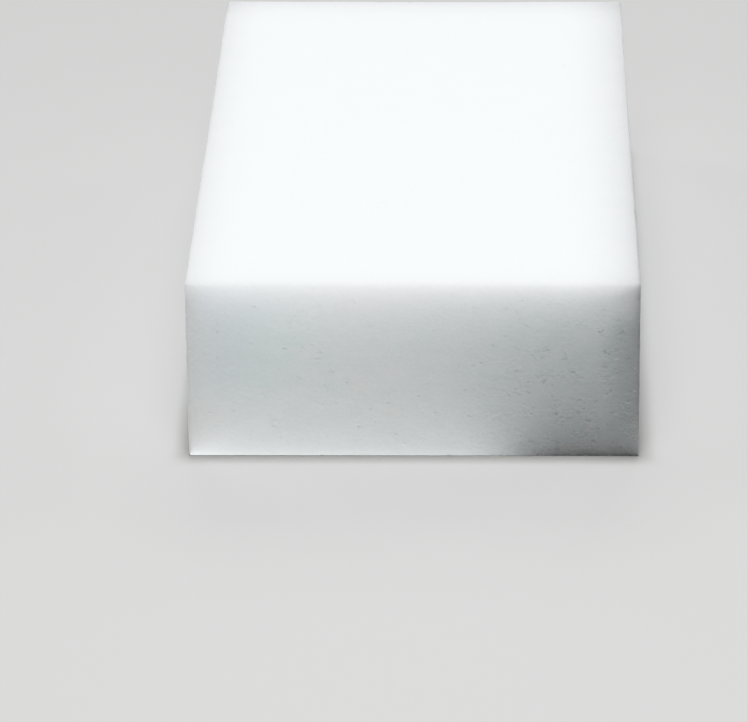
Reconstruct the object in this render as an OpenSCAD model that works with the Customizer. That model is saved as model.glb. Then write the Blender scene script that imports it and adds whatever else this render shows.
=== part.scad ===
// Cleaning sponge: one plain block of fine-celled melamine foam.
//
// The block is sawn from a larger bun of foam, so all six faces are flat and
// bare, and the twelve edges are crisp, with only a small radius where the
// brittle cells have rubbed away. There is no core, layer, seam or hole.
//
// The origin is in the middle of the face that the block lies on. X runs
// across the width, Y along the length (the narrow front face looks to -Y),
// and Z up through the thickness.

/* [Block] */
// Width across the front face, along X
block_width = 60; // [40:1:100]
// Length from the front face to the back face, along Y
block_length = 110; // [70:1:180]
// Thickness as the block lies, along Z
block_thickness = 25; // [12:0.5:60]

/* [Edges] */
// Radius of the rubbed edges and corners
edge_radius = 0.6; // [0.2:0.1:4]

/* [Colour] */
// Brightness of the bare foam, where 1 is pure white
foam_white = 0.95; // [0.7:0.01:1]

/* [Hidden] */
$fn = 48;
foam_colour = [foam_white - 0.015, foam_white, foam_white + 0.005];

// A box standing on Z = 0, centred in X and Y, lifted by the given height.
module standing_box(w, l, t, lift = 0) {
    translate([-w / 2, -l / 2, lift]) cube([w, l, t]);
}

// A rod of the edge radius, centred on the origin and lying along the axis
// that the two angles turn it to.
module edge_rod(len, turn) {
    rotate(turn) cylinder(h = len, r = edge_radius, center = true);
}

// A box with the same radius on every edge: three boxes that reach the six
// faces, twelve rods for the edges and eight balls for the corners.
module rubbed_box(w, l, t) {
    r = edge_radius;
    ix = w / 2 - r;
    iy = l / 2 - r;
    iz = t / 2 - r;
    union() {
        standing_box(w, l - 2 * r, t - 2 * r, r);
        standing_box(w - 2 * r, l, t - 2 * r, r);
        standing_box(w - 2 * r, l - 2 * r, t);
        translate([0, 0, t / 2]) {
            for (a = [-1, 1], b = [-1, 1]) {
                // edges along X, Y and Z
                translate([0, a * iy, b * iz]) edge_rod(2 * ix, [0, 90, 0]);
                translate([a * ix, 0, b * iz]) edge_rod(2 * iy, [90, 0, 0]);
                translate([a * ix, b * iy, 0]) edge_rod(2 * iz, [0, 0, 0]);
            }
            for (a = [-1, 1], b = [-1, 1], c = [-1, 1])
                translate([a * ix, b * iy, c * iz]) sphere(r = r);
        }
    }
}

// The whole sponge.
module foam_block() {
    color(foam_colour) rubbed_box(block_width, block_length, block_thickness);
}

foam_block();
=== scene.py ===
import math

import bpy
import numpy as np
from mathutils import Matrix, Vector


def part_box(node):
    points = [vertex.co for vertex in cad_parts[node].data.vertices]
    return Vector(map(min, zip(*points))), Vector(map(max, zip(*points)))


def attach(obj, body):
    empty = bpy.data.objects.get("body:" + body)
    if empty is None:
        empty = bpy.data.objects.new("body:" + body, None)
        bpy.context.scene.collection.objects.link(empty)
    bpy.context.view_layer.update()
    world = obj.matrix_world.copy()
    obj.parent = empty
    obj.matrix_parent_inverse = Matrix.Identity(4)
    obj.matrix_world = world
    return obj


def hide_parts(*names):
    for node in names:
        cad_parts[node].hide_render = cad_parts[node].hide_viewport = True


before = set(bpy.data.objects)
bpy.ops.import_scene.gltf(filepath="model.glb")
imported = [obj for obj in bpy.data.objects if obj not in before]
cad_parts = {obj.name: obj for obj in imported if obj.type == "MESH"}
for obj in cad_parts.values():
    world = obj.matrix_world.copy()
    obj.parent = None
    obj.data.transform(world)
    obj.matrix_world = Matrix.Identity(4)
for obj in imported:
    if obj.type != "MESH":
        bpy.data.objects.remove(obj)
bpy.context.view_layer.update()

LO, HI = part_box("foam_block")
MM = 1000.0
W, D, H = [(HI[i] - LO[i]) * MM for i in range(3)]  # 60 x 110 x 25 mm
CX, CY, Z0 = (LO[0] + HI[0]) / 2 * MM, (LO[1] + HI[1]) / 2 * MM, LO[2] * MM


# ---------------------------------------------------------------- camera
# The lens and place that put the block's edges where the photograph has them,
# in a picture of 748 x 722 pixels.
PIX_F, PIX_W = 4722.4, 748.0
PITCH, YAW, ROLL = math.radians(23.968), math.radians(-1.607), math.radians(-0.582)
SHIFT = np.array([6.567, -9.728, 680.39])


def make_camera():
    def rx(a):
        c, s = math.cos(a), math.sin(a)
        return np.array([[1, 0, 0], [0, c, -s], [0, s, c]])

    def ry(a):
        c, s = math.cos(a), math.sin(a)
        return np.array([[c, 0, s], [0, 1, 0], [-s, 0, c]])

    def rz(a):
        c, s = math.cos(a), math.sin(a)
        return np.array([[c, -s, 0], [s, c, 0], [0, 0, 1]])

    level = np.array([[1, 0, 0], [0, 0, -1], [0, 1, 0]], float)
    turn = rz(ROLL) @ rx(PITCH) @ level @ rz(YAW)
    place = -turn.T @ SHIFT / MM
    turn = (np.diag([1, -1, -1]) @ turn).T
    cam = bpy.data.cameras.new("view_camera")
    cam.sensor_fit = "HORIZONTAL"
    cam.sensor_width = 36.0
    cam.lens = PIX_F * 36.0 / PIX_W
    cam.clip_start, cam.clip_end = 0.01, 50.0
    ob = bpy.data.objects.new("view_camera", cam)
    bpy.context.collection.objects.link(ob)
    m = Matrix(turn.tolist()).to_4x4()
    m.translation = Vector(place.tolist())
    ob.matrix_world = m
    bpy.context.scene.camera = ob


make_camera()


# ---------------------------------------------------------------- noise
def scramble(ix, iy, iz, seed):
    h = ix.astype(np.uint32) * np.uint32(0x8DA6B343)
    h ^= iy.astype(np.uint32) * np.uint32(0xD8163841)
    h ^= iz.astype(np.uint32) * np.uint32(0xCB1AB31F)
    h ^= np.uint32((seed * 0x9E3779B1) & 0xFFFFFFFF)
    h ^= h >> np.uint32(15)
    h *= np.uint32(0x2C1B3C6D)
    h ^= h >> np.uint32(12)
    h *= np.uint32(0x297A2D39)
    h ^= h >> np.uint32(15)
    return h


def noise(p, wave, seed):
    """Smooth gradient noise, about -1 to 1, at the points p (mm) with the given wavelength in mm, one number or one for each axis."""
    q = p / np.asarray(wave, float) + 137.31
    base = np.floor(q)
    f = q - base
    base = base.astype(np.int64)
    u = f * f * f * (f * (f * 6 - 15) + 10)
    total = 0.0
    for dx in (0, 1):
        wx = u[:, 0] if dx else 1 - u[:, 0]
        for dy in (0, 1):
            wy = u[:, 1] if dy else 1 - u[:, 1]
            for dz in (0, 1):
                wz = u[:, 2] if dz else 1 - u[:, 2]
                h = scramble(base[:, 0] + dx, base[:, 1] + dy, base[:, 2] + dz, seed)
                z = (h & np.uint32(0xFFFF)).astype(float) / 32767.5 - 1
                a = (h >> np.uint32(16)).astype(float) * (2 * math.pi / 65536)
                s = np.sqrt(np.maximum(1 - z * z, 0))
                dot = (
                    s * np.cos(a) * (f[:, 0] - dx)
                    + s * np.sin(a) * (f[:, 1] - dy)
                    + z * (f[:, 2] - dz)
                )
                total = total + wx * wy * wz * dot
    return total * 1.6


# ---------------------------------------------------------------- the six sawn faces
# name, axis of the normal, its sign, and the two axes of the face
# (right-handed with the normal)
HALF = np.array([W, D, H]) / 2
CELLS = (20, 36, 8)
FACES = [
    ("front", 1, -1, 0, 2),
    ("back", 1, 1, 2, 0),
    ("left", 0, -1, 2, 1),
    ("right", 0, 1, 1, 2),
    ("top", 2, 1, 0, 1),
    ("bottom", 2, -1, 1, 0),
]
rng = np.random.default_rng(20417)


def face_point(k, u, v):
    """The point of the sharp box (mm, centred) at u, v of face k."""
    _, n, s, a, b = FACES[k]
    p = np.zeros((len(u), 3))
    p[:, n] = s * HALF[n]
    p[:, a], p[:, b] = u, v
    return p


class Pit:
    """A torn hole or nick: an ellipsoid bite in the sharp box's coordinates."""

    __slots__ = ("c", "axes", "r", "depth", "seed", "face", "rim")

    def __init__(self, c, axes, r, depth, seed, face, rim):
        self.c, self.axes, self.r = c, axes, r
        self.depth, self.seed, self.face, self.rim = depth, seed, face, rim


pits = []


def add_pit(k, u, v, a, b, tilt, depth, rim=0.0):
    """a and b are half-widths along the face's level direction and across it."""
    _, n, s, ax, bx = FACES[k]
    level = ax if ax != 2 else bx
    up = bx if level == ax else ax
    e1, e2, e3 = np.zeros(3), np.zeros(3), np.zeros(3)
    c, sn = math.cos(tilt), math.sin(tilt)
    e1[level], e1[up] = c, sn
    e2[level], e2[up] = -sn, c
    e3[n] = s
    p = face_point(k, np.array([u]), np.array([v]))[0]
    pits.append(
        Pit(
            p,
            np.array([e1, e2, e3]),
            np.array([a, b, max(b, 0.3 * a)]),
            depth,
            int(rng.integers(1 << 30)),
            k,
            rim,
        )
    )


def scatter(k, per_cm2, density, size, flat, deep, apart=0.5):
    """Pits at random on face k. density(u, v) thins them out; size is the middle half-width; flat how long they are for their height."""
    _, n, s, ax, bx = FACES[k]
    ua, vb = HALF[ax] - 0.25, HALF[bx] - 0.25
    count = int(per_cm2 * 4 * ua * vb / 100)
    placed = []
    tries = 0
    while len(placed) < count and tries < count * 30:
        tries += 1
        u, v = rng.uniform(-ua, ua), rng.uniform(-vb, vb)
        if rng.uniform() > density(u, v):
            continue
        if any((u - x) ** 2 + (v - y) ** 2 < apart**2 for x, y in placed[-60:]):
            continue
        placed.append((u, v))
        a = size * float(np.clip(rng.lognormal(0, 0.42), 0.6, 2.0))
        ratio = 1 + (flat - 1) * rng.uniform(0.6, 1.5) * (1.0 if a < 0.28 else a / 0.28)
        b = max(a / ratio, 0.11)
        tilt = rng.normal(0, 0.28) if flat > 1.2 else rng.uniform(0, math.pi)
        depth = deep * b * rng.uniform(0.7, 1.5)
        add_pit(k, u, v, a, b, tilt, depth, rim=rng.uniform(0, 0.04))


def patchy(seed, wave=9.0, low=0.15):
    """A density that comes and goes over the face in soft patches."""

    def at(u, v):
        x = noise(np.array([[u, v, seed * 3.7]]), wave, seed)[0]
        return min(1.0, max(low, 0.5 + 0.9 * x))

    return at


def front_density():
    soft = patchy(5, 7.0, 0.25)

    def at(u, v):
        right = 1 / (1 + math.exp(-(u - 12) / 4.0))
        low = 1 / (1 + math.exp((v + 2) / 3.5))
        return soft(u, v) * min(1.0, 0.28 + 0.62 * right * (0.45 + 0.55 * low) + 0.22 * low)

    return at


scatter(0, 9.5, front_density(), 0.26, 2.5, 1.9)
scatter(1, 5, patchy(6), 0.27, 2.2, 1.7)
scatter(2, 3.2, patchy(7), 0.27, 2.3, 1.7)
scatter(3, 3.2, patchy(8), 0.27, 2.3, 1.7)
scatter(4, 0.8, patchy(9), 0.15, 1.0, 1.6)
scatter(5, 0.3, patchy(10), 0.26, 1.0, 1.1)

# The nicks that stand out most on the front face, as seen: long level tears
# low on the left half, and the deepest holes near the right bottom corner.
for u, v, a, b, tilt, depth in (
    (-18.6, -8.2, 0.62, 0.15, 0.02, 0.26),
    (-21.6, -2.6, 0.46, 0.13, 0.05, 0.18),
    (-15.4, -1.0, 0.40, 0.12, 0.04, 0.18),
    (-10.8, -0.4, 0.42, 0.13, 0.30, 0.22),
    (-5.4, -5.6, 0.55, 0.12, 0.05, 0.18),
    (-3.6, -6.6, 0.66, 0.13, 0.08, 0.22),
    (-2.4, -9.6, 0.34, 0.17, 0.60, 0.30),
    (-25.9, 6.6, 0.17, 0.14, 1.30, 0.28),
    (8.6, -2.2, 0.70, 0.12, -0.02, 0.20),
    (11.0, -1.6, 0.34, 0.16, 0.00, 0.26),
    (15.2, -3.3, 0.26, 0.17, 0.80, 0.34),
    (17.4, 0.9, 0.44, 0.12, 0.00, 0.22),
    (20.2, 2.3, 0.52, 0.13, -0.75, 0.26),
    (21.2, -0.4, 0.36, 0.16, -0.30, 0.34),
    (21.9, -6.2, 0.26, 0.18, 0.10, 0.36),
    (25.3, 0.4, 0.44, 0.17, -0.30, 0.36),
    (26.2, -3.0, 0.20, 0.22, 0.15, 0.40),
    (27.6, 5.3, 0.46, 0.17, 0.20, 0.36),
    (28.6, 1.6, 0.26, 0.22, 0.90, 0.40),
    (23.9, -10.4, 0.46, 0.20, -0.30, 0.44),
    (15.6, -10.6, 0.40, 0.18, -0.35, 0.40),
    (19.2, -11.6, 0.36, 0.18, 0.05, 0.34),
):
    add_pit(0, u, v, a, b, tilt, depth, rim=0.03)


# Crumbs lost along the twelve edges, more of them on the lower and right-hand
# edges of the front, as seen.
def crumble(axis, s1, s2, per_cm, size, deep, sparse_before=None):
    o1, o2 = [i for i in range(3) if i != axis]
    count = int(per_cm * 2 * HALF[axis] / 10)
    for _ in range(count):
        t = rng.uniform(-HALF[axis] + 0.4, HALF[axis] - 0.4)
        if sparse_before is not None and t < sparse_before and rng.uniform() < 0.8:
            continue
        c = np.zeros(3)
        c[axis], c[o1], c[o2] = t, s1 * HALF[o1], s2 * HALF[o2]
        lean = rng.uniform(-0.35, 0.35)
        c[o1] -= s1 * max(0, lean)
        c[o2] -= s2 * max(0, -lean)
        a = size * float(np.clip(rng.lognormal(0, 0.45), 0.4, 2.8))
        r = np.zeros(3) + a * rng.uniform(0.45, 0.75)
        r[axis] = a * rng.uniform(0.8, 1.6)
        pits.append(
            Pit(
                c,
                np.eye(3),
                np.maximum(r, 0.18),
                deep * rng.uniform(0.4, 1.5),
                int(rng.integers(1 << 30)),
                -1,
                0.0,
            )
        )


for axis in range(3):
    o1, o2 = [i for i in range(3) if i != axis]
    for s1 in (-1, 1):
        for s2 in (-1, 1):
            sides = {(o1, s1), (o2, s2)}
            rough = 1.0
            if (1, -1) in sides and ((2, -1) in sides or (0, 1) in sides):
                rough = 2.2  # the front's lower and right-hand edges
            elif (2, 1) in sides:
                rough = 0.7
            if axis == 0 and sides == {(1, -1), (2, -1)}:
                crumble(axis, s1, s2, 5.0, 0.22, 0.12, sparse_before=4.0)
            else:
                crumble(axis, s1, s2, 2.4 * rough, 0.32, 0.12 * min(rough, 1.5))


# ---------------------------------------------------------------- mesh
def start_mesh():
    points, tris, ids = [], [], []
    index = {}

    def vid(p):
        key = tuple(np.round(p * 1e4).astype(int))
        if key not in index:
            index[key] = len(points)
            points.append(p)
        return index[key]

    for k, (_, n, s, a, b) in enumerate(FACES):
        na, nb = CELLS[a], CELLS[b]
        ga, gb = np.linspace(-HALF[a], HALF[a], na + 1), np.linspace(-HALF[b], HALF[b], nb + 1)
        grid = [
            [vid(face_point(k, np.array([x]), np.array([y]))[0]) for y in gb] for x in ga
        ]
        e = [0, 0, 0]
        ea, eb = np.zeros(3), np.zeros(3)
        ea[a], eb[b] = 1, 1
        right_handed = np.cross(ea, eb)[n] * s > 0
        for i in range(na):
            for j in range(nb):
                q = [grid[i][j], grid[i + 1][j], grid[i + 1][j + 1], grid[i][j + 1]]
                if not right_handed:
                    q = [q[0], q[3], q[2], q[1]]
                tris += [(q[1], q[2], q[0]), (q[3], q[0], q[2])]
                ids += [k, k]
    return np.array(points), np.array(tris), np.array(ids)


def refine(points, tris, ids, wanted, rounds=40):
    """Newest-vertex bisection: tris[:, 0] is each triangle's newest corner, and the edge that faces it is the one that splits. The mesh stays closed."""
    for _ in range(rounds):
        mark = wanted(points, tris, ids)
        if not mark.any():
            break
        ends = np.stack([tris[:, [1, 2]], tris[:, [2, 0]], tris[:, [0, 1]]], 1)
        ends.sort(2)
        key = ends[..., 0].astype(np.int64) * (1 << 32) + ends[..., 1]
        names, back = np.unique(key.ravel(), return_inverse=True)
        edge = back.reshape(-1, 3)
        split = np.zeros(len(names), bool)
        split[edge[mark, 0]] = True
        while True:
            more = (split[edge[:, 1]] | split[edge[:, 2]]) & ~split[edge[:, 0]]
            if not more.any():
                break
            split[edge[more, 0]] = True
        fresh = np.full(len(names), -1)
        fresh[split] = len(points) + np.arange(split.sum())
        a, b = names[split] >> 32, names[split] & 0xFFFFFFFF
        points = np.concatenate([points, (points[a] + points[b]) / 2])
        keep = ~split[edge[:, 0]]
        out, out_ids = [tris[keep]], [ids[keep]]
        t, e, f = tris[~keep], edge[~keep], ids[~keep]
        m = fresh[e[:, 0]]
        for new, other in (
            (np.stack([m, t[:, 0], t[:, 1]], 1), e[:, 2]),
            (np.stack([m, t[:, 2], t[:, 0]], 1), e[:, 1]),
        ):
            again = split[other]
            out.append(new[~again])
            out_ids.append(f[~again])
            n, mm = new[again], fresh[other[again]]
            out.append(np.stack([mm, n[:, 0], n[:, 1]], 1))
            out.append(np.stack([mm, n[:, 2], n[:, 0]], 1))
            out_ids += [f[again], f[again]]
        tris, ids = np.concatenate(out), np.concatenate(out_ids)
    return points, tris, ids


# How far each spot of a face is from the nearest pit, on a grid of 0.25 mm,
# and the same for the crumbs lost along its edges.
STEP = 0.25


def far_field(k, crumbs):
    _, n, s, a, b = FACES[k]
    na, nb = int(2 * HALF[a] / STEP) + 2, int(2 * HALF[b] / STEP) + 2
    far = np.full((na, nb), 9.0)
    for p in pits:
        if abs(p.c[n] - s * HALF[n]) > 0.6 or (p.face < 0) != crumbs:
            continue
        reach = 2.6 + p.r.max()
        i0 = max(int((p.c[a] + HALF[a] - reach) / STEP), 0)
        i1 = min(int((p.c[a] + HALF[a] + reach) / STEP) + 1, na)
        j0 = max(int((p.c[b] + HALF[b] - reach) / STEP), 0)
        j1 = min(int((p.c[b] + HALF[b] + reach) / STEP) + 1, nb)
        if i1 <= i0 or j1 <= j0:
            continue
        x = np.arange(i0, i1) * STEP - HALF[a] - p.c[a]
        y = np.arange(j0, j1) * STEP - HALF[b] - p.c[b]
        gx, gy = np.meshgrid(x, y, indexing="ij")
        d = np.zeros(gx.shape + (3,))
        d[..., a], d[..., b] = gx, gy
        loc = d @ p.axes.T
        rho = np.sqrt(((loc / p.r) ** 2).sum(-1))
        dist = np.maximum((rho - 1.15) * p.r.min(), np.hypot(gx, gy) - 1.2 * p.r.max())
        far[i0:i1, j0:j1] = np.minimum(far[i0:i1, j0:j1], dist)
    return far


fields = [(far_field(k, False), far_field(k, True)) for k in range(6)]

# mesh size at pits and along edges for each face, and far from both (mm)
AT_PIT = {"front": 0.12, "back": 0.18, "left": 0.18, "right": 0.18, "top": 0.14, "bottom": 0.30}
AT_CRUMB = {"front": 0.17, "back": 0.26, "left": 0.24, "right": 0.24, "top": 0.22, "bottom": 0.32}
AT_EDGE = {"front": 0.34, "back": 0.46, "left": 0.44, "right": 0.44, "top": 0.40, "bottom": 0.50}
PLAIN = {"front": 2.2, "back": 3.2, "left": 3.2, "right": 3.2, "top": 3.2, "bottom": 3.2}
NAMES = [f[0] for f in FACES]
at_pit = np.array([AT_PIT[n] for n in NAMES])
at_crumb = np.array([AT_CRUMB[n] for n in NAMES])
at_edge = np.array([AT_EDGE[n] for n in NAMES])
plain = np.array([PLAIN[n] for n in NAMES])
EDGE_BAND = 0.50


def wanted(points, tris, ids):
    long = np.linalg.norm(points[tris[:, 1]] - points[tris[:, 2]], axis=1)
    mid = points[tris].mean(1)
    need = long > plain[ids]
    for k, (_, n, s, a, b) in enumerate(FACES):
        on = np.nonzero(ids == k)[0]
        x, y = mid[on, a], mid[on, b]
        to_edge = np.minimum(HALF[a] - abs(x), HALF[b] - abs(y))
        at_pits, at_crumbs = fields[k]
        i = np.clip(((x + HALF[a]) / STEP + 0.5).astype(int), 0, at_pits.shape[0] - 1)
        j = np.clip(((y + HALF[b]) / STEP + 0.5).astype(int), 0, at_pits.shape[1] - 1)
        to_pit, to_crumb = at_pits[i, j], at_crumbs[i, j]
        size = long[on]
        need[on] |= (size > at_edge[k]) & (to_edge < EDGE_BAND + 0.3 * size)
        need[on] |= (size > at_pit[k]) & (to_pit < 0.42 * size)
        need[on] |= (size > at_crumb[k]) & (to_crumb < 0.42 * size)
    return need


points, tris, ids = start_mesh()
points, tris, ids = refine(points, tris, ids, wanted)
print("foam mesh:", len(points), "points,", len(tris), "triangles")


def shape(p):
    """Moves points of the sharp box (mm, centred) to the real surface. Returns the points and how deep each lies in a pit (0 to 1)."""
    # rubbed edges, whose radius wanders along the edge
    low = np.clip((p[:, 2] + HALF[2]) / 4.0, 0, 1)
    r = 0.10 + 0.42 * low + low * (0.10 * noise(p, 9.0, 31) + 0.06 * noise(p, 2.3, 32))
    r = np.clip(r, 0.09, 0.9)[:, None]
    inner = np.clip(p, -HALF + r, HALF - r)
    out = p - inner
    length = np.linalg.norm(out, axis=1, keepdims=True)
    normal = out / np.maximum(length, 1e-9)
    q = inner + normal * r
    # the saw's slow wander and the soft unevenness of the cut
    cut = 0.07 * noise(p, (34.0, 34.0, 26.0), 41) + 0.030 * noise(p, (11.0, 11.0, 5.0), 42)
    cut += 0.016 * noise(p, (3.2, 3.2, 1.5), 43)
    # the block dries a little hollow in the middle of its faces
    u = p / HALF
    hollow = (1 - u[:, 0] ** 2) * (1 - u[:, 1] ** 2) + (1 - u[:, 1] ** 2) * (1 - u[:, 2] ** 2)
    hollow += (1 - u[:, 0] ** 2) * (1 - u[:, 2] ** 2)
    cut -= 0.10 * hollow
    # pits and lost crumbs
    bite, raise_ = np.zeros(len(p)), np.zeros(len(p))
    cell = 2.0
    where = np.floor((p + 80) / cell).astype(np.int64)
    code = (where[:, 0] * 4096 + where[:, 1]) * 4096 + where[:, 2]
    order = np.argsort(code, kind="stable")
    sorted_code = code[order]
    for pit in pits:
        reach = 1.5 * pit.r.max() + 0.1
        lo = np.floor((pit.c - reach + 80) / cell).astype(int)
        hi = np.floor((pit.c + reach + 80) / cell).astype(int)
        near = []
        for i in range(lo[0], hi[0] + 1):
            for j in range(lo[1], hi[1] + 1):
                c0 = (i * 4096 + j) * 4096
                s0 = np.searchsorted(sorted_code, c0 + lo[2], "left")
                s1 = np.searchsorted(sorted_code, c0 + hi[2], "right")
                near.append(order[s0:s1])
        near = np.concatenate(near)
        if not len(near):
            continue
        loc = (p[near] - pit.c) @ pit.axes.T
        rho = np.sqrt(((loc / pit.r) ** 2).sum(1))
        ok = rho < 1.7
        near, rho = near[ok], rho[ok]
        if not len(near):
            continue
        rho = rho * (1 + 0.30 * noise(p[near], 0.42, pit.seed & 0xFFFF) + 0.12 * noise(p[near], 0.22, pit.seed >> 16))
        depth = pit.depth * np.clip(1 - rho**2, 0, 1) ** 0.75
        bite[near] = np.maximum(bite[near], depth)
        lip = pit.rim * np.exp(-(((rho - 1.12) / 0.16) ** 2))
        raise_[near] = np.maximum(raise_[near], lip)
    move = cut - bite + raise_ * (bite < 0.01)
    step = normal * move[:, None]
    # the face that it lies on: its rim stays flat, and only its middle is hollow
    rim = np.minimum(HALF[0] - np.abs(p[:, 0]), HALF[1] - np.abs(p[:, 1]))
    under = np.clip((rim - 0.6) / 4.0, 0, 1)
    lift = np.where(p[:, 2] < -HALF[2] + 1e-6, under, np.clip((p[:, 2] + HALF[2]) / 1.2, 0, 1))
    step[:, 2] = np.where((normal[:, 2] < 0) & (bite < 0.02), step[:, 2] * lift, step[:, 2])
    return q + step, np.clip(bite / 0.30, 0, 1)


q, pit_depth = shape(points)
q[:, 2] = np.maximum(q[:, 2], -HALF[2])  # nothing below the face that it lies on

mesh = bpy.data.meshes.new("foam_body")
placed = (q + np.array([CX, CY, Z0 + H / 2])) / MM
mesh.vertices.add(len(placed))
mesh.vertices.foreach_set("co", placed.astype(np.float32).ravel())
mesh.loops.add(len(tris) * 3)
mesh.loops.foreach_set("vertex_index", tris.astype(np.int32).ravel())
mesh.polygons.add(len(tris))
mesh.polygons.foreach_set("loop_start", np.arange(0, len(tris) * 3, 3, dtype=np.int32))
mesh.polygons.foreach_set("use_smooth", np.ones(len(tris), bool))

# One chart for each sawn face, in millimetres of the sharp box, packed in a
# square of 166 mm.
SHEET = 166.0
CHART = {  # left, bottom, and whether it is turned a quarter
    "top": (1.0, 1.0, False),
    "bottom": (62.5, 1.0, True),
    "left": (124.0, 1.0, False),
    "front": (1.0, 112.5, False),
    "back": (62.5, 112.5, True),
    "right": (1.0, 139.0, False),
}
uv = np.zeros((len(tris), 3, 2))
for k, (name, n, s, a, b) in enumerate(FACES):
    on = ids == k
    left, bottom, _ = CHART[name]
    pu, pv = points[tris[on]][..., a] + HALF[a], points[tris[on]][..., b] + HALF[b]
    wide, high = 2 * HALF[a], 2 * HALF[b]
    if name == "left":  # axes z, y: 25 x 110
        x, y = pu, pv
    elif name == "right":  # axes y, z: 110 x 25
        x, y = pu, pv
    elif name in ("bottom", "back"):  # turned so that the short way runs across
        x, y = high - pv, pu
    else:
        x, y = pu, pv
    uv[on, :, 0], uv[on, :, 1] = (x + left) / SHEET, (y + bottom) / SHEET
layer = mesh.uv_layers.new(name="OFBake")
layer.data.foreach_set("uv", uv.astype(np.float32).ravel())

deep = mesh.attributes.new("pit_depth", "FLOAT", "POINT")
deep.data.foreach_set("value", pit_depth.astype(np.float32))
mesh.update()
mesh.validate()

foam = bpy.data.objects.new("foam_body", mesh)
bpy.context.collection.objects.link(foam)
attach(foam, "root")
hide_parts("foam_block")


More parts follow.
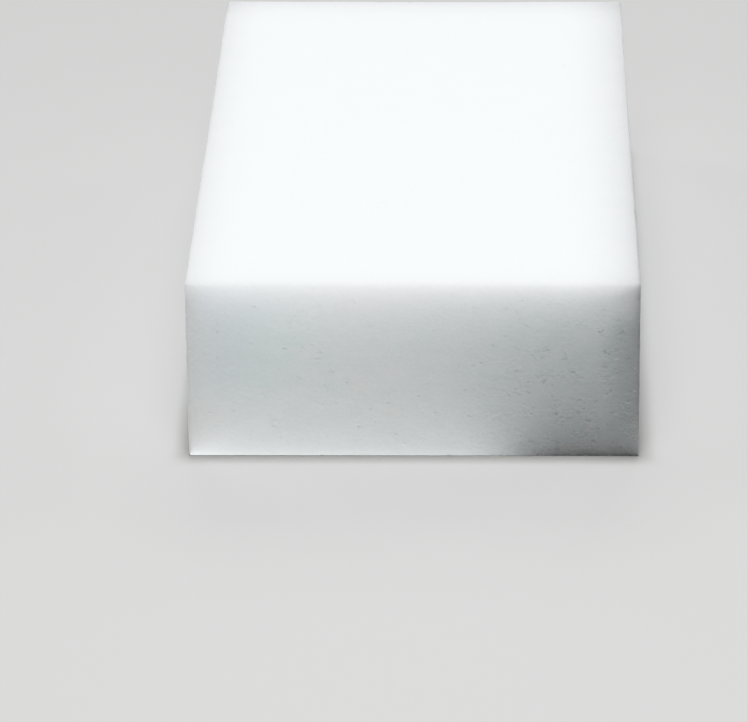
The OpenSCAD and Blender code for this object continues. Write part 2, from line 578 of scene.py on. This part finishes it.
# ---------------------------------------------------------------- the foam's finish
def foam_material():
    mat = bpy.data.materials.new("foam_finish")
    mat.use_nodes = True
    nt = mat.node_tree
    nt.nodes.clear()
    N = nt.nodes.new
    L = nt.links.new
    out = N("ShaderNodeOutputMaterial")
    bsdf = N("ShaderNodeBsdfPrincipled")
    L(bsdf.outputs[0], out.inputs["Surface"])
    bsdf.inputs["Specular IOR Level"].default_value = 0.12
    bsdf.inputs["IOR"].default_value = 1.4
    bsdf.subsurface_method = "RANDOM_WALK"
    bsdf.inputs["Subsurface Weight"].default_value = 1.0
    bsdf.inputs["Subsurface Radius"].default_value = (1.0, 1.0, 1.0)
    bsdf.inputs["Subsurface Scale"].default_value = 0.009
    bsdf.inputs["Subsurface Anisotropy"].default_value = 0.0

    coord = N("ShaderNodeTexCoord")

    def mapping(scale, vec=None):
        m = N("ShaderNodeMapping")
        m.inputs["Scale"].default_value = scale
        L(vec or coord.outputs["Object"], m.inputs["Vector"])
        return m.outputs[0]

    def tex_noise(vec, scale, detail=2.0, rough=0.5):
        t = N("ShaderNodeTexNoise")
        t.inputs["Scale"].default_value = scale
        t.inputs["Detail"].default_value = detail
        t.inputs["Roughness"].default_value = rough
        L(vec, t.inputs["Vector"])
        return t.outputs["Fac"]

    def tex_cells(vec, scale, feature="F1", smooth=None):
        t = N("ShaderNodeTexVoronoi")
        t.feature = feature
        t.inputs["Scale"].default_value = scale
        if feature == "SMOOTH_F1" and smooth is not None:
            t.inputs["Smoothness"].default_value = smooth
        L(vec, t.inputs["Vector"])
        return t.outputs["Distance"]

    def math_node(op, a, b=None, clamp=False):
        m = N("ShaderNodeMath")
        m.operation = op
        m.use_clamp = clamp
        for i, x in enumerate((a, b)):
            if x is None:
                continue
            if isinstance(x, (int, float)):
                m.inputs[i].default_value = x
            else:
                L(x, m.inputs[i])
        return m.outputs[0]

    def ramp(fac, lo, hi, a=0.0, b=1.0):
        m = N("ShaderNodeMapRange")
        m.interpolation_type = "SMOOTHSTEP"
        m.inputs["From Min"].default_value = lo
        m.inputs["From Max"].default_value = hi
        m.inputs["To Min"].default_value = a
        m.inputs["To Max"].default_value = b
        L(fac, m.inputs["Value"])
        return m.outputs["Result"]

    def mix(fac, a, b):
        m = N("ShaderNodeMix")
        m.data_type = "RGBA"
        for sock, x in ((m.inputs[0], fac), (m.inputs[6], a), (m.inputs[7], b)):
            if isinstance(x, (int, float, tuple)):
                sock.default_value = x
            else:
                L(x, sock)
        return m.outputs[2]

    def moved(vec, by):
        m = N("ShaderNodeVectorMath")
        m.operation = "ADD"
        L(vec, m.inputs[0])
        if isinstance(by, tuple):
            m.inputs[1].default_value = by
        else:
            L(by, m.inputs[1])
        return m.outputs[0]

    # In the foam the cells lie a little flat, so every pattern is pressed along Z.
    flat = mapping((1.0, 1.0, 1.7))
    cell = N("ShaderNodeTexVoronoi")  # about 0.33 mm
    cell.inputs["Scale"].default_value = 3000.0
    L(flat, cell.inputs["Vector"])
    cells = cell.outputs["Distance"]
    each = N("ShaderNodeSeparateColor")
    L(cell.outputs["Color"], each.inputs[0])
    even = mapping((1.0, 1.0, 1.25))
    grain = tex_noise(even, 1700.0, 2.0, 0.6)
    higher = tex_noise(moved(even, (0.0, 0.0, 0.00024)), 1700.0, 2.0, 0.6)
    soft = tex_noise(flat, 240.0, 2.0)

    # A bend of half a millimetre or so, which makes the nicks crooked.
    swirl = N("ShaderNodeTexNoise")
    swirl.inputs["Scale"].default_value = 620.0
    swirl.inputs["Detail"].default_value = 1.0
    L(coord.outputs["Object"], swirl.inputs["Vector"])
    bend = N("ShaderNodeVectorMath")
    bend.operation = "MULTIPLY_ADD"
    L(swirl.outputs["Color"], bend.inputs[0])
    bend.inputs[1].default_value = (0.0016, 0.0016, 0.0016)
    bend.inputs[2].default_value = (-0.0008, -0.0008, -0.0008)
    torn = moved(coord.outputs["Object"], bend.outputs[0])
    fray = math_node("MULTIPLY", math_node("SUBTRACT", grain, 0.5), 0.40)

    # Little torn nicks, from a third of a millimetre to a millimetre long, drawn in the colour as painted shade with a
    # painted highlight on the lip below. They are many low on the right of the front face, and come and go in clumps
    # elsewhere.
    place = N("ShaderNodeSeparateXYZ")
    L(coord.outputs["Object"], place.inputs[0])
    right = ramp(place.outputs[0], -0.002, 0.026)
    ahead = ramp(place.outputs[1], -0.046, -0.0535)
    low = ramp(place.outputs[2], 0.0235, 0.004)
    dense = math_node("MULTIPLY", math_node("MULTIPLY", right, ahead), math_node("ADD", math_node("MULTIPLY", low, 0.80), 0.20))
    patch = ramp(tex_noise(flat, 95.0, 1.0), 0.42, 0.70)
    clump = ramp(tex_noise(flat, 330.0, 1.0), 0.36, 0.62, 0.25, 1.35)
    share = math_node("ADD", math_node("MULTIPLY", dense, 0.95), math_node("MULTIPLY", patch, 0.24))
    share = math_node("ADD", math_node("MULTIPLY", share, clump), 0.03)

    # the other sawn sides are nicked evenly
    sides = math_node("MULTIPLY", math_node("SUBTRACT", 1.0, ahead), ramp(place.outputs[2], 0.0245, 0.0225))
    share = math_node("ADD", share, math_node("MULTIPLY", sides, 0.18))
    depth_here = math_node("ADD", math_node("MULTIPLY", dense, 0.50), 0.48)
    depth_here = math_node("ADD", depth_here, math_node("MULTIPLY", sides, 0.36))

    def nicks(long, scale, shift, reach, common, soft_edge):
        """Where a torn nick is, its painted shade, darker in its upper part, and the painted highlight on the lip below
        it.
        """
        vec = mapping((1.0, 1.0, long), torn)
        t = N("ShaderNodeTexVoronoi")
        t.inputs["Scale"].default_value = scale
        spot = moved(vec, shift)
        L(spot, t.inputs["Vector"])
        pick = N("ShaderNodeSeparateColor")
        L(t.outputs["Color"], pick.inputs[0])
        # how big this cell's nick is: zero in most cells
        chance = math_node("SUBTRACT", math_node("MULTIPLY", share, common), pick.outputs[0])
        size = math_node("MULTIPLY", chance, 2.2 / common, clamp=True)
        size = math_node("MULTIPLY", math_node("POWER", size, 0.5), ramp(pick.outputs[1], 0.0, 1.0, reach * 0.5, reach))
        inside = math_node("SUBTRACT", size, math_node("ADD", t.outputs["Distance"], fray))
        apart = N("ShaderNodeVectorMath")
        apart.operation = "SUBTRACT"
        L(spot, apart.inputs[0])
        L(t.outputs["Position"], apart.inputs[1])
        parts = N("ShaderNodeSeparateXYZ")
        L(apart.outputs[0], parts.inputs[0])
        up = math_node("MULTIPLY", parts.outputs[2], scale)
        strength = math_node("ADD", math_node("MULTIPLY", math_node("POWER", pick.outputs[2], 2.5), 0.85), 0.15)
        strength = math_node("MULTIPLY", strength, depth_here)
        # painted shade inside the nick, darker in its upper part as if lit from above
        painted_nick_shade = math_node("MULTIPLY", ramp(inside, 0.0, soft_edge), strength)
        painted_nick_shade = math_node("MULTIPLY", painted_nick_shade, ramp(up, -0.22, 0.06, 0.30, 1.0))
        # painted highlight on the lower lip of the nick, as if lit from above
        ring = math_node("MULTIPLY", ramp(inside, -0.26, -0.07), ramp(inside, 0.10, 0.0))
        lip = math_node("MULTIPLY", math_node("MULTIPLY", ring, ramp(up, 0.0, -0.14)), math_node("MULTIPLY", ramp(size, 0.05, 0.2), strength))
        return painted_nick_shade, lip

    painted_nick_shade_a, painted_lip_highlight_a = nicks(3.2, 500.0, (0.0, 0.0, 0.0), 0.40, 0.11, 0.12)
    painted_nick_shade_b, painted_lip_highlight_b = nicks(2.2, 830.0, (0.713, 0.291, 0.577), 0.46, 0.34, 0.12)
    painted_nick_shade_c, painted_lip_highlight_c = nicks(1.3, 1350.0, (0.313, 0.791, 0.177), 0.50, 0.42, 0.14)
    # painted shade of all the nicks, and the painted highlight on their lower lips
    mark = math_node("MAXIMUM", math_node("MAXIMUM", painted_nick_shade_a, painted_nick_shade_b), painted_nick_shade_c)
    lip = math_node("MAXIMUM", math_node("MAXIMUM", painted_lip_highlight_a, painted_lip_highlight_b), painted_lip_highlight_c)
    streak = tex_noise(mapping((1.0, 1.0, 11.0)), 240.0, 1.0, 0.5)

    # height, in metres
    h = math_node("ADD", math_node("MULTIPLY", cells, 0.000060), math_node("MULTIPLY", grain, 0.000110))
    bump = N("ShaderNodeBump")
    bump.inputs["Strength"].default_value = 0.8
    bump.inputs["Distance"].default_value = 1.0
    L(h, bump.inputs["Height"])
    L(bump.outputs["Normal"], bsdf.inputs["Normal"])

    # colour: a cool white, a touch greyer in the cells, painted shade in the pits and
    # nicks, and a painted highlight on the lower lip of each
    tone = mix(ramp(soft, 0.35, 0.65), (0.886, 0.940, 0.945, 1), (0.906, 0.952, 0.960, 1))
    tone = mix(math_node("MULTIPLY", ramp(cells, 0.45, 0.05), 0.06), tone, (0.78, 0.83, 0.835, 1))
    tone = mix(math_node("MULTIPLY", ramp(streak, 0.52, 0.72), 0.06), tone, (0.78, 0.83, 0.835, 1))
    # painted emboss shade: lighter where the fine grain faces up and darker where it faces down, as if lit from above,
    # stronger where it is torn
    painted_shade_and_cell_tone = math_node("MULTIPLY", math_node("SUBTRACT", grain, higher), math_node("ADD", math_node("MULTIPLY", share, 0.27), 0.04))
    # cell by cell, some lighter and some darker, more so where it is torn
    motley = math_node("MULTIPLY", math_node("SUBTRACT", each.outputs[1], 0.62), math_node("ADD", math_node("MULTIPLY", share, 0.05), 0.015))
    # plus painted shade where the nicks are many, low on the right of the front face
    painted_shade_and_cell_tone = math_node("SUBTRACT", math_node("ADD", painted_shade_and_cell_tone, motley), math_node("MULTIPLY", dense, 0.045))
    # painted shade on the front face: darker toward its right edge below the top, and a little darker toward the left
    # in its upper part
    painted_shade_right = math_node("MULTIPLY", ramp(place.outputs[0], 0.0238, 0.0300, 0.0, 0.20), ramp(place.outputs[2], 0.0215, 0.0180))
    painted_shade_left = math_node("MULTIPLY", ramp(place.outputs[0], -0.008, -0.027, 0.0, 0.06), ramp(place.outputs[2], 0.005, 0.012))
    face = ramp(place.outputs[1], -0.0536, -0.0547)
    painted_shade_and_cell_tone = math_node("SUBTRACT", painted_shade_and_cell_tone, math_node("MULTIPLY", face, math_node("ADD", painted_shade_right, painted_shade_left)))
    # a bluer white where light comes through near the upper edge and the left
    blue = math_node("MAXIMUM", ramp(place.outputs[2], 0.0180, 0.0230), ramp(place.outputs[0], -0.020, -0.029))
    tone = mix(math_node("MULTIPLY", math_node("MULTIPLY", blue, face), 0.85), tone, (0.905, 0.950, 1.0, 1))
    shade = N("ShaderNodeMix")
    shade.data_type = "RGBA"
    shade.blend_type = "MULTIPLY"
    shade.clamp_result = True
    shade.inputs[0].default_value = 1.0
    L(tone, shade.inputs[6])
    L(math_node("ADD", painted_shade_and_cell_tone, 1.0), shade.inputs[7])
    tone = shade.outputs[2]
    # painted shade in the nicks, then the painted highlight on their lower lips
    tone = mix(math_node("MULTIPLY", mark, 0.85), tone, (0.55, 0.58, 0.585, 1))
    tone = mix(math_node("MULTIPLY", lip, 1.3, clamp=True), tone, (0.98, 0.995, 1.0, 1))
    # painted shade in the pits, darker the deeper they go
    depth = N("ShaderNodeAttribute")
    depth.attribute_name = "pit_depth"
    painted_pit_shade = math_node("MULTIPLY", ramp(depth.outputs["Fac"], 0.25, 1.0, 0.0, 0.36), depth_here)
    tone = mix(painted_pit_shade, tone, (0.50, 0.53, 0.54, 1))
    L(tone, bsdf.inputs["Base Color"])

    rough = ramp(grain, 0.3, 0.7, 0.86, 0.98)
    L(rough, bsdf.inputs["Roughness"])
    return mat


foam.data.materials.append(foam_material())


# ---------------------------------------------------------------- floor and backdrop
def stage_material():
    mat = bpy.data.materials.new("pale_floor")
    mat.use_nodes = True
    b = mat.node_tree.nodes["Principled BSDF"]
    b.inputs["Base Color"].default_value = (0.432, 0.426, 0.406, 1)
    b.inputs["Roughness"].default_value = 0.9
    b.inputs["Specular IOR Level"].default_value = 0.1
    return mat


def sweep_floor():
    """A round floor whose rim turns up into a wall, so that no view has a horizon line."""
    flat, turn, top, sides = 2.2, 1.4, 3.0, 96
    profile = [(0.0, 0.0), (0.3, 0.0), (1.0, 0.0), (flat, 0.0)]
    for i in range(1, 17):
        a = i / 16 * math.pi / 2
        profile.append((flat + turn * math.sin(a), turn * (1 - math.cos(a))))
    profile.append((flat + turn, top))
    verts, faces = [(0, 0, 0)], []
    for r, z in profile[1:]:
        for i in range(sides):
            a = 2 * math.pi * i / sides
            verts.append((r * math.cos(a), r * math.sin(a), z))
    for i in range(sides):
        faces.append((0, 1 + i, 1 + (i + 1) % sides))
    for ring in range(len(profile) - 2):
        b0, b1 = 1 + ring * sides, 1 + (ring + 1) * sides
        for i in range(sides):
            j = (i + 1) % sides
            faces.append((b0 + i, b1 + i, b1 + j, b0 + j))
    me = bpy.data.meshes.new("floor")
    me.from_pydata(verts, [], faces)
    for p in me.polygons:
        p.use_smooth = True
    me.materials.append(stage_material())
    ob = bpy.data.objects.new("floor", me)
    bpy.context.collection.objects.link(ob)
    ob.location.z = LO[2] - 0.00003


sweep_floor()


def pale_surround(start=0.14, full=0.50):
    """An even pale backdrop that takes over from the floor away from the block.

    Only the camera sees it, so it puts no light on the block.
    """
    mat = bpy.data.materials.new("pale_surround")
    mat.use_nodes = True
    nt = mat.node_tree
    nt.nodes.clear()
    out, both = nt.nodes.new("ShaderNodeOutputMaterial"), nt.nodes.new("ShaderNodeMixShader")
    lamp, clear = nt.nodes.new("ShaderNodeEmission"), nt.nodes.new("ShaderNodeBsdfTransparent")
    lamp.inputs["Color"].default_value = (0.592, 0.600, 0.600, 1)
    at, part = nt.nodes.new("ShaderNodeTexCoord"), nt.nodes.new("ShaderNodeVectorMath")
    level, away = nt.nodes.new("ShaderNodeVectorMath"), nt.nodes.new("ShaderNodeMapRange")
    level.operation, part.operation = "MULTIPLY", "LENGTH"
    level.inputs[1].default_value = (1.0, 1.0, 0.0)
    away.interpolation_type = "SMOOTHSTEP"
    for i, v in enumerate((start, full, 0.0, 1.0)):
        away.inputs[i + 1].default_value = v
    nt.links.new(at.outputs["Object"], level.inputs[0])
    nt.links.new(level.outputs[0], part.inputs[0])
    nt.links.new(part.outputs["Value"], away.inputs[0])
    nt.links.new(away.outputs["Result"], both.inputs[0])
    nt.links.new(clear.outputs[0], both.inputs[1])
    nt.links.new(lamp.outputs[0], both.inputs[2])
    nt.links.new(both.outputs[0], out.inputs["Surface"])

    sides, profile = 96, [(start, 0.0), (full, 0.0), (2.0, 0.0)]
    for i in range(1, 17):
        a = i / 16 * math.pi / 2
        profile.append((2.0 + 1.4 * math.sin(a), 1.4 * (1 - math.cos(a))))
    profile.append((3.4, 2.9))
    verts = [(r * math.cos(2 * math.pi * i / sides), r * math.sin(2 * math.pi * i / sides), z) for r, z in profile for i in range(sides)]
    faces = []
    for ring in range(len(profile) - 1):
        b0, b1 = ring * sides, (ring + 1) * sides
        for i in range(sides):
            j = (i + 1) % sides
            faces.append((b0 + i, b1 + i, b1 + j, b0 + j))
    me = bpy.data.meshes.new("surround")
    me.from_pydata(verts, [], faces)
    me.materials.append(mat)
    ob = bpy.data.objects.new("surround", me)
    bpy.context.collection.objects.link(ob)
    ob.location.z = LO[2] + 0.0008
    ob.visible_diffuse = ob.visible_glossy = ob.visible_transmission = False
    ob.visible_volume_scatter = ob.visible_shadow = False


pale_surround()


def card(name, x0, x1, y0, y1, z, mat):
    """A level card that lights or shades the block and isn't seen itself."""
    me = bpy.data.meshes.new(name)
    me.from_pydata([(x0, y0, z), (x1, y0, z), (x1, y1, z), (x0, y1, z)], [], [(0, 1, 2, 3)])
    me.materials.append(mat)
    ob = bpy.data.objects.new(name, me)
    bpy.context.collection.objects.link(ob)
    ob.visible_camera = False
    ob.visible_shadow = False


def black_material():
    """Black from above. From below it isn't there, so that it leaves no trace on the floor under it."""
    mat = bpy.data.materials.new("black_card")
    mat.use_nodes = True
    nt = mat.node_tree
    b, out = nt.nodes["Principled BSDF"], nt.nodes["Material Output"]
    b.inputs["Base Color"].default_value = (0.02, 0.02, 0.02, 1)
    b.inputs["Specular IOR Level"].default_value = 0.0
    both, clear = nt.nodes.new("ShaderNodeMixShader"), nt.nodes.new("ShaderNodeBsdfTransparent")
    side = nt.nodes.new("ShaderNodeNewGeometry")
    nt.links.new(side.outputs["Backfacing"], both.inputs[0])
    nt.links.new(b.outputs[0], both.inputs[1])
    nt.links.new(clear.outputs[0], both.inputs[2])
    nt.links.new(both.outputs[0], out.inputs["Surface"])
    return mat


def glow_material():
    """Even light, strongest at the left, and gone by the right third and the front quarter of the length."""
    mat = bpy.data.materials.new("glow_card")
    mat.use_nodes = True
    nt = mat.node_tree
    nt.nodes.clear()
    out, lamp = nt.nodes.new("ShaderNodeOutputMaterial"), nt.nodes.new("ShaderNodeEmission")
    lamp.inputs["Color"].default_value = (0.95, 1.0, 1.01, 1)
    at, part = nt.nodes.new("ShaderNodeTexCoord"), nt.nodes.new("ShaderNodeSeparateXYZ")
    nt.links.new(at.outputs["Object"], part.inputs[0])
    fades = []
    for socket, kind, lo, hi, a, b in (
        (0, "LINEAR", -0.030, 0.014, 1.19, 0.71),
        (0, "SMOOTHSTEP", 0.0050, 0.0215, 1.0, 0.05),
        (0, "SMOOTHSTEP", -0.030, -0.022, 1.32, 1.0),
        (1, "SMOOTHSTEP", -0.038, -0.014, 1.0, 0.0),
    ):
        fade = nt.nodes.new("ShaderNodeMapRange")
        fade.interpolation_type = kind
        for i, v in enumerate((lo, hi, a, b)):
            fade.inputs[i + 1].default_value = v
        nt.links.new(part.outputs[socket], fade.inputs[0])
        fades.append(fade)
    level = fades[0].outputs["Result"]
    for fade in fades[1:]:
        both = nt.nodes.new("ShaderNodeMath")
        both.operation = "MULTIPLY"
        nt.links.new(level, both.inputs[0])
        nt.links.new(fade.outputs["Result"], both.inputs[1])
        level = both.outputs[0]
    nt.links.new(level, lamp.inputs["Strength"])
    nt.links.new(lamp.outputs[0], out.inputs["Surface"])
    return mat


# Dark cards on the floor take the bounce from the right of the front face and
# from the side next to it, and a glowing one under the block stands for the
# bright ground that lights the foam from below on the left.
black = black_material()
card("shade_front", 0.0130, 0.25, LO[1] - 0.25, LO[1] - 0.0002, LO[2] + 0.00005, black)
card("shade_right", HI[0] + 0.012, HI[0] + 0.17, LO[1], -0.005, LO[2] + 0.00005, black)
card("under_card", LO[0] + 0.0002, HI[0] - 0.0002, LO[1] + 0.0001, -0.014, LO[2] - 0.00001, glow_material())


def net():
    """A net just over the block that holds back some of the light near the edges of its top.

    The foam lets light leak out at its edges, so the top is softly darker there,
    most of all on the right.
    """
    mat = bpy.data.materials.new("net")
    mat.use_nodes = True
    nt = mat.node_tree
    nt.nodes.clear()
    out, clear = nt.nodes.new("ShaderNodeOutputMaterial"), nt.nodes.new("ShaderNodeBsdfTransparent")
    at, part = nt.nodes.new("ShaderNodeTexCoord"), nt.nodes.new("ShaderNodeSeparateXYZ")
    nt.links.new(at.outputs["Object"], part.inputs[0])
    level = None
    for socket, lo, hi, b in ((0, 0.0205, 0.0310, 0.60), (0, -0.0235, -0.0308, 0.74), (1, 0.0465, 0.0555, 0.78), (1, -0.0505, -0.0553, 0.93)):
        fade = nt.nodes.new("ShaderNodeMapRange")
        fade.interpolation_type = "SMOOTHSTEP"
        for i, v in enumerate((lo, hi, 1.0, b)):
            fade.inputs[i + 1].default_value = v
        nt.links.new(part.outputs[socket], fade.inputs[0])
        if level is None:
            level = fade.outputs["Result"]
            continue
        both = nt.nodes.new("ShaderNodeMath")
        both.operation = "MULTIPLY"
        nt.links.new(level, both.inputs[0])
        nt.links.new(fade.outputs["Result"], both.inputs[1])
        level = both.outputs[0]
    nt.links.new(level, clear.inputs["Color"])
    nt.links.new(clear.outputs[0], out.inputs["Surface"])
    x, y, z = HI[0] + 0.0006, HI[1] + 0.0006, HI[2] + 0.0009
    me = bpy.data.meshes.new("net")
    me.from_pydata([(-x, -y, z), (x, -y, z), (x, y, z), (-x, y, z)], [], [(0, 1, 2, 3)])
    me.materials.append(mat)
    ob = bpy.data.objects.new("net", me)
    bpy.context.collection.objects.link(ob)
    ob.visible_camera = False


net()


# ---------------------------------------------------------------- light
def area(name, place, aim, size, power, colour=(1, 1, 1)):
    light = bpy.data.lights.new(name, "AREA")
    light.shape = "SQUARE"
    light.size = size
    light.energy = power
    light.color = colour
    ob = bpy.data.objects.new(name, light)
    bpy.context.collection.objects.link(ob)
    ob.location = place
    ob.rotation_mode = "QUATERNION"
    ob.rotation_quaternion = (Vector(aim) - Vector(place)).to_track_quat("-Z", "Y")
    ob.visible_camera = False
    return ob


area("top_light", (0, 0, 1.10), (0, 0, 0), 0.15, 11.9, (0.97, 1.0, 1.06))
area("front_light", (0.0, -0.18, 0.40), (0, -0.05, 0.01), 0.15, 0.57)
area("fill_light", (0.01, -0.30, 0.25), (0, -0.05, 0.01), 0.15, 0.26)
area("back_light", (0, 0.78, 0.72), (0, 0.05, 0.01), 0.5, 3.0)
area("left_light", (-0.75, 0.30, 0.60), (0, 0.01, 0.01), 0.4, 1.3)
area("right_light", (0.72, 0.45, 0.60), (0, 0.03, 0.01), 0.4, 1.1)

world = bpy.data.worlds.new("studio")
world.use_nodes = True
world.node_tree.nodes["Background"].inputs[0].default_value = (0.96, 0.98, 1.0, 1)
world.node_tree.nodes["Background"].inputs[1].default_value = 0.015
bpy.context.scene.world = world
bpy.context.scene.view_settings.view_transform = "Standard"
bpy.context.scene.view_settings.look = "None"


def soft_highlights(knee=0.55, rooms=(0.440, 0.470, 0.475)):
    """Bright tones roll off to just under white, as in an overexposed picture, so that the top doesn't clip.

    Red stays a little lower than green and blue, for the cool white of the picture.
    """
    view = bpy.context.scene.view_settings
    view.use_curve_mapping = True
    m = view.curve_mapping
    top = 4.0
    m.white_level = (top, top, top)
    m.extend = "HORIZONTAL"
    for c, room in zip(m.curves, rooms):
        c.points[0].location = (0.0, 0.0)
        c.points[1].location = (1.0, min(1.0, knee + room))
        for x in (knee, 0.64, 0.74, 0.86, 1.0, 1.18, 1.4, 1.7, 2.1, 2.8):
            c.points.new(x / top, min(1.0, knee + room * (1 - math.exp(-(x - knee) / room))))
        for p in c.points:
            p.handle_type = "VECTOR"
    # the curve for all three together stays a straight line up to the white level
    m.update()


soft_highlights()
